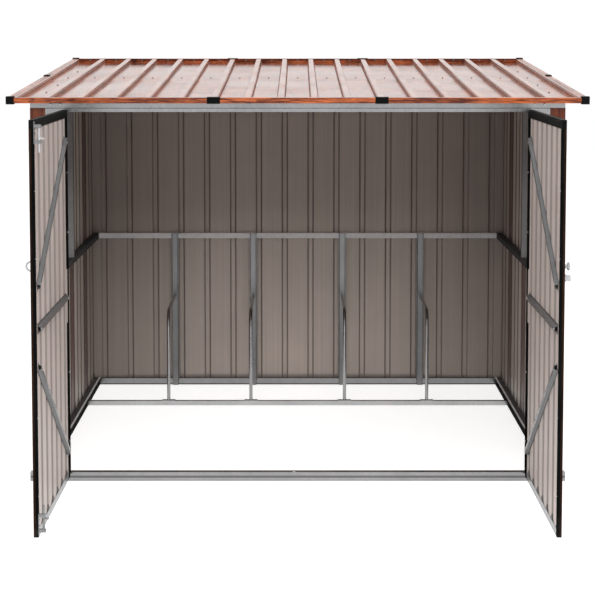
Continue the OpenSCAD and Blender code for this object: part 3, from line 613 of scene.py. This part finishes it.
def rearShell(loop):
    x, y = loop[:, 0], wall["rearY"] + loop[:, 1]
    return wallShell(x, y, np.full_like(x, wall["low"]))


sideLoops = wallSheets(wall["sideStart"], wall["sideEnd"], wall["sideLaps"])
addPiece("side_wall_sheets", *joined([sideShell(loop, side) for side in (-1, 1) for loop in sideLoops]),
         "shelter", "printed_sheet", sideSheet, ["side_walls"])
rearLoops = wallSheets(-wall["rearX"], wall["rearX"], wall["rearLaps"])
addPiece("rear_wall_sheets", *joined([rearShell(loop) for loop in rearLoops]),
         "shelter", "printed_sheet", rearSheet, ["rear_wall"])

# roof: the upper sheet lies on the lower one, and its front edge hugs it
roofCorners = ribCorners(ribCentres(roof["ribs"]), roof["foot"], roof["crown"], roof["height"])
roofPath = roundedPath(roofCorners[1:-1], roof["bend"])
roofTop = offsetPath(roofPath, wall["sheet"])
lowerLoop = outline(roofPath, roofTop)
hugLoop = outline(offsetPath(roofTop, roof["sink"]), offsetPath(roofTop, roof["hug"]))
half, lap = roof["length"] / 2, roof["lap"]
lowerEnds = (roof["edge"], half + lap)
upperEnds = (half - lap + roof["ramp"], roof["length"] - roof["edge"])
lowerSections = [onRoof(lowerLoop[:, 0], s, lowerLoop[:, 1] + roof["seat"]) for s in lowerEnds]
upperSections = [onRoof(hugLoop[:, 0], half - lap, hugLoop[:, 1] + roof["seat"])]
upperSections += [onRoof(lowerLoop[:, 0], s, lowerLoop[:, 1] + roof["lift"]) for s in upperEnds]
addPiece("roof_sheet_lower", *sweptShell(np.stack(lowerSections)),
         "shelter", "printed_sheet", roofSheet, ["roof_lower_sheet"])
addPiece("roof_sheet_upper", *sweptShell(np.stack(upperSections)),
         "shelter", "printed_sheet", roofSheet, ["roof_upper_sheet"])

door = {
    "hingeX": 0.855, "hingeY": -0.030, "start": 0.007, "end": 0.8515, "face": 0.008, "pan": 0.00625,
    "width": 0.8421, "ribs": 6, "low": 0.0252, "high": 1.3878, "boltU": 0.8415, "lockU": 0.829, "pullZ": 0.914,
}


# a door point from its distance to the hinge axis u and its place towards the inside v
def onDoor(side, u, v, z):
    return np.stack(np.broadcast_arrays(side * (door["hingeX"] - v), door["hingeY"] - u, z), -1)


doorCorners = ribCorners(ribCentres(door["ribs"]), wall["foot"], wall["crown"], wall["height"])
doorEnds = np.array([[[-door["width"] / 2, 0.0]], [[door["width"] / 2, 0.0]]])
doorPath = roundedPath(np.vstack([doorEnds[0], doorCorners, doorEnds[1]]), wall["bend"])
doorLoop = outline(doorPath, offsetPath(doorPath, -wall["sheet"]))
for side, name in ((-1, "left_door"), (1, "right_door")):
    u, v = (door["start"] + door["end"]) / 2 - doorLoop[:, 0], door["pan"] - doorLoop[:, 1]
    sections = np.stack([onDoor(side, u, v, z) for z in (door["low"], door["high"])])
    addPiece(name + "_ribbed_sheet", *sweptShell(sections), name, "printed_sheet", doorSheet, [name + "_sheet"])
print("sheets made")


screw = {
    "rings": np.array([(1.0, -0.1), (1.0, 0.16), (0.64, 0.26), (0.6, 0.66), (0.42, 0.84)]),
    "ends": np.array([-0.1, 0.9]), "sides": 8, "upright": 0.9, "crease": 35.0,
}


# screw heads: rings of eight points, each at the spot plus the size times the sum of the ring's radius along
# a spoke and its height along the screw's way, closed by a fan to a point at each end
def screwHeads(spots, ways, sizes):
    rings, count, sides = screw["rings"], len(spots), screw["sides"]
    upright = np.abs(ways[:, 2:3]) > screw["upright"]
    first = np.cross(np.where(upright, [[1.0, 0, 0]], [[0, 0, 1.0]]), ways)
    first /= np.linalg.norm(first, axis=1, keepdims=True)
    second = np.cross(ways, first)
    turn = np.arange(sides)[:, None] * 2 * np.pi / sides
    spoke = np.cos(turn) * first[:, None] + np.sin(turn) * second[:, None]
    ring = rings[:, :1, None] * spoke[:, None] + rings[:, 1:, None] * ways[:, None, None]
    rim = spots[:, None, None] + sizes[:, None, None, None] * ring
    ends = spots[:, None] + sizes[:, None, None] * screw["ends"][:, None] * ways[:, None]
    verts = np.concatenate([rim.reshape(count, -1, 3), ends], axis=1)
    i, j = np.arange(sides), np.roll(np.arange(sides), -1)
    level = np.arange(len(rings) - 1)[:, None] * sides
    quads = np.stack([level + i, level + j, level + sides + j, level + sides + i], -1).reshape(-1, 4)
    foot, top, crown = len(rings) * sides, len(rings) * sides + 1, (len(rings) - 1) * sides
    footFan = np.stack([np.full(sides, foot), j, i], -1)
    topFan = np.stack([np.full(sides, top), crown + i, crown + j], -1)
    shift = np.arange(count)[:, None, None] * verts.shape[1]
    fans = np.vstack([footFan, topFan])
    faces = (quads + shift).reshape(-1, 4).tolist() + (fans + shift).reshape(-1, 3).tolist()
    return verts.reshape(-1, 3), faces


# a row is (spots, way, size)
def addScrews(name, body, rows):
    spots = np.vstack([places for places, way, size in rows])
    ways = np.vstack([np.broadcast_to(np.asarray(way, float), places.shape) for places, way, size in rows])
    sizes = np.concatenate([np.full(len(places), size) for places, way, size in rows])
    addPiece(name, *screwHeads(spots, ways, sizes), body, "bright_hardware", bright, crease=screw["crease"])


# every mix of the given places
def grid(x, y, z):
    return np.stack(np.meshgrid(x, y, z, indexing="ij"), -1).reshape(-1, 3)


# one place a step before and one a step after each of the given places
def beside(places, step):
    return (np.atleast_1d(places)[:, None] + [-step, step]).ravel()


screws = {
    "big": 0.0055, "small": 0.0042, "tiny": 0.0026, "sunk": 0.0002, "pans": 15, "baseZ": 0.017, "midZ": 0.715,
    "topDrop": 0.018, "roofRow": 1.11, "roofEdgeX": 0.975, "edgeLow": np.array([0.09, 0.43, 0.77]),
    "edgeHigh": np.array([1.11, 1.45, 1.79]), "rearEdge": 0.0009, "rearRise": 0.011, "rearPans": 17,
    "headerX": 0.889, "headerStep": 0.018, "headerY": -0.013, "headerZ": 1.408,
    "trimZ": np.linspace(0.09, 1.37, 6), "frontTrimX": 0.956, "frontTrimY": -0.015, "rearTrimX": 0.966,
    "rearTrimY": 1.943, "rearTrimLift": 0.05, "sideTrimX": 0.984, "sideTrimY": np.array([-0.0015, 1.9295]),
    "hingeX": 0.87475, "hingeStepX": 0.00675, "hingeY": -0.0162, "hingeZ": np.array([0.190, 0.720, 1.250]),
    "hingeStepZ": 0.018, "holderX": np.array([-0.582, -0.211, 0.211, 0.582]), "holderStep": 0.021,
    "holderY": 1.415, "holderZ": 0.023, "postStep": 0.0142, "postY": 1.9023,
}
bothSides = np.array([-1, 1])
pans, rearPans = ribCentres(screws["pans"]), ribCentres(screws["rearPans"])
sideY = (wall["sideStart"] + wall["sideEnd"]) / 2 + pans
lowZ = np.array([screws["baseZ"], screws["midZ"]])
rearZ = np.append(lowZ, roofZ(wall["rearY"]) - screws["topDrop"])
slopeUp = np.array([0, -math.sin(roof["slope"]), math.cos(roof["slope"])])
slopeFront = np.array([0, -math.cos(roof["slope"]), -math.sin(roof["slope"])])
forward, backward, upward = (0, -1, 0), (0, 1, 0), (0, 0, 1)
overLow, overHigh = roof["seat"] + wall["sheet"], roof["lift"] + wall["sheet"]
roofEdgeX = bothSides[:, None] * screws["roofEdgeX"]
rearEdge, rearRise = roof["length"] - screws["rearEdge"], roof["lift"] + screws["rearRise"]
hingeX = beside(bothSides * screws["hingeX"], screws["hingeStepX"])
hingeZ = beside(screws["hingeZ"], screws["hingeStepZ"])
rows = [
    (onRoof(pans, screws["roofRow"], overHigh - screws["sunk"]), slopeUp, screws["small"]),
    (onRoof(roofEdgeX, screws["edgeLow"], overLow).reshape(-1, 3), slopeUp, screws["small"]),
    (onRoof(roofEdgeX, screws["edgeHigh"], overHigh).reshape(-1, 3), slopeUp, screws["small"]),
    (onRoof(rearPans, rearEdge, rearRise), slopeFront, screws["small"]),
    (grid(beside(bothSides * screws["headerX"], screws["headerStep"]), screws["headerY"], screws["headerZ"]),
     forward, screws["small"]),
    (grid(bothSides * screws["frontTrimX"], screws["frontTrimY"], screws["trimZ"][:-1]),
     forward, screws["small"]),
    (grid(bothSides * screws["rearTrimX"], screws["rearTrimY"], screws["trimZ"] + screws["rearTrimLift"]),
     backward, screws["small"]),
    (grid(pans, wall["rearY"], rearZ), backward, screws["big"]),
    (grid(hingeX, screws["hingeY"], hingeZ), forward, screws["small"]),
    (grid(beside(screws["holderX"], screws["holderStep"]), screws["holderY"], screws["holderZ"]),
     upward, screws["small"]),
    (grid(beside(screws["holderX"], screws["postStep"]), screws["postY"], lowZ), forward, screws["tiny"]),
]
for side in (-1, 1):
    plane, outward = side * wall["sideX"], (side, 0, 0)
    topSpots = np.c_[np.full_like(sideY, plane), sideY, roofZ(sideY) - screws["topDrop"]]
    trimSpots = grid(side * screws["sideTrimX"], screws["sideTrimY"], screws["trimZ"][:-1])
    rows.append((grid(plane, sideY, lowZ), outward, screws["big"]))
    rows.append((topSpots, outward, screws["big"]))
    rows.append((trimSpots, outward, screws["small"]))
addScrews("shelter_screws", "shelter", rows)

# doors: screws on the stiles, on the brace ends, on the bolt guides and on the pull's plate
doorScrews = {
    "hingeStile": 0.012, "stileZ": np.array([0.16, 0.42, 0.94, 1.16]), "braceU": np.array([0.089, 0.7995]),
    "braceV": 0.0182, "braceZ": np.array([[1.2738, 0.8542], [0.706, 0.706], [0.1391, 0.5709]]),
    "guideZ": np.array([1.354, 1.334, 0.060, 0.080]), "guideStep": 0.0058, "plate": 0.002, "pullStep": 0.0183,
}
stileU = np.array([[door["start"] + doorScrews["hingeStile"]], [door["boltU"]]])
guideU = beside(door["boltU"], doorScrews["guideStep"])[:, None]
guideV, pullV = door["face"] + doorScrews["plate"], -door["face"] - doorScrews["plate"]
pullZ = beside(door["pullZ"], doorScrews["pullStep"])
for side, name in ((-1, "left_door"), (1, "right_door")):
    inward, outward = (-side, 0, 0), (side, 0, 0)
    stileSpots = onDoor(side, stileU, door["face"], doorScrews["stileZ"]).reshape(-1, 3)
    braceSpots = onDoor(side, doorScrews["braceU"], doorScrews["braceV"], doorScrews["braceZ"]).reshape(-1, 3)
    rows = [(stileSpots, inward, screws["small"]), (braceSpots, inward, screws["small"])]
    if name == "left_door":
        guideSpots = onDoor(side, guideU, guideV, doorScrews["guideZ"]).reshape(-1, 3)
        rows.append((guideSpots, inward, screws["tiny"]))
        rows.append((onDoor(side, door["lockU"], pullV, pullZ), outward, screws["tiny"]))
    addScrews(name + "_screws", name, rows)
print("screws made")


# studio

studio = {
    "cameraY": -6.757, "cameraZ": 1.652, "tilt": 5.0, "lens": 110.97, "sensor": 36.0, "shiftX": -0.2 / 595,
    "shiftY": -0.167, "ambient": 0.36,
    "front": {"place": (0.6, -6.5, 4.6), "aim": (0, 0.8, 0.4), "size": (7, 3), "power": 420},
    "above": {"place": (0, 0.6, 6.0), "aim": (0, 0.6, 0), "size": (6, 6), "power": 160},
}

lens = bpy.data.cameras.new("camera")
lens.lens, lens.sensor_width = studio["lens"], studio["sensor"]
lens.shift_x, lens.shift_y = studio["shiftX"], studio["shiftY"]
camera = bpy.data.objects.new("camera", lens)
camera.location = (0, studio["cameraY"], studio["cameraZ"])
camera.rotation_euler = (math.radians(90 - studio["tilt"]), 0, 0)
bpy.context.collection.objects.link(camera)
bpy.context.scene.camera = camera


def addLamp(name, place, aim, size, power):
    data = bpy.data.lights.new(name, "AREA")
    data.shape, data.size, data.size_y, data.energy = "RECTANGLE", size[0], size[1], power
    lamp = bpy.data.objects.new(name, data)
    lamp.location = place
    lamp.visible_glossy = False  # the metal shows the plain backdrop, not the lamps
    way = np.array(aim, float) - np.array(place, float)
    flat = math.hypot(way[0], way[1])
    lamp.rotation_euler = (math.atan2(flat, -way[2]), 0, math.atan2(-way[0], way[1]))
    bpy.context.collection.objects.link(lamp)


for name in ("front", "above"):
    addLamp(name, **studio[name])

# the backdrop is white where it is seen and dimmer as a light
world = bpy.data.worlds.new("studioWorld")
world.use_nodes = True
bpy.context.scene.world = world
sky = world.node_tree
path = put(sky, "LightPath").outputs
seen = strongest(sky, path["Is Camera Ray"], path["Is Glossy Ray"], path["Is Transmission Ray"])
ambient = between(sky, seen, 0.0, 1.0, studio["ambient"], 1.0)
sky.links.new(ambient, sky.nodes["Background"].inputs["Strength"])
sky.nodes["Background"].inputs["Color"].default_value = (1, 1, 1, 1)

ground = {
    "half": 20.0, "z": -0.0005, "middle": (0, 0.4, 0), "fadeFrom": 1.6, "fadeTo": 4.2,
    "near": (0.88, 0.88, 0.88, 1), "far": (0.3, 0.3, 0.3, 1), "nearGlow": 0.72,
}
# the floor is a wide flat grid of two by two squares about the origin
line = np.linspace(-ground["half"], ground["half"], 3)
floorMesh = bpy.data.meshes.new("floor")
floorMesh.from_pydata(grid(line, line, ground["z"]).tolist(), [],
                      [(0, 3, 4, 1), (1, 4, 5, 2), (3, 6, 7, 4), (4, 7, 8, 5)])
floor = bpy.data.objects.new("floor", floorMesh)
bpy.context.collection.objects.link(floor)
# near the shed the floor is pale and takes its shadow, farther off it fades into the white backdrop
floorPaint, floorTree, floorShader = newFinish("paleFloor", Roughness=0.9, Specular_IOR_Level=0.1)
ray = put(floorTree, "LightPath").outputs
lift = strongest(floorTree, ray["Is Camera Ray"], ray["Is Glossy Ray"])
here = put(floorTree, "TexCoord").outputs["Object"]
away = put(floorTree, "VectorMath", {0: here, 1: ground["middle"]}, operation="DISTANCE").outputs["Value"]
fade = between(floorTree, away, ground["fadeFrom"], ground["fadeTo"])
pale = mixColour(floorTree, fade, ground["near"], ground["far"])
floorShader.inputs["Emission Color"].default_value = (1, 1, 1, 1)
glow = calc(floorTree, "MULTIPLY", lift, between(floorTree, fade, 0.0, 1.0, ground["nearGlow"], 1.0))
feed(floorTree, floorShader, Base_Color=pale, Emission_Strength=glow)
floorMesh.materials.append(floorPaint)

bpy.context.scene.view_settings.view_transform = "Standard"
print("studio set")
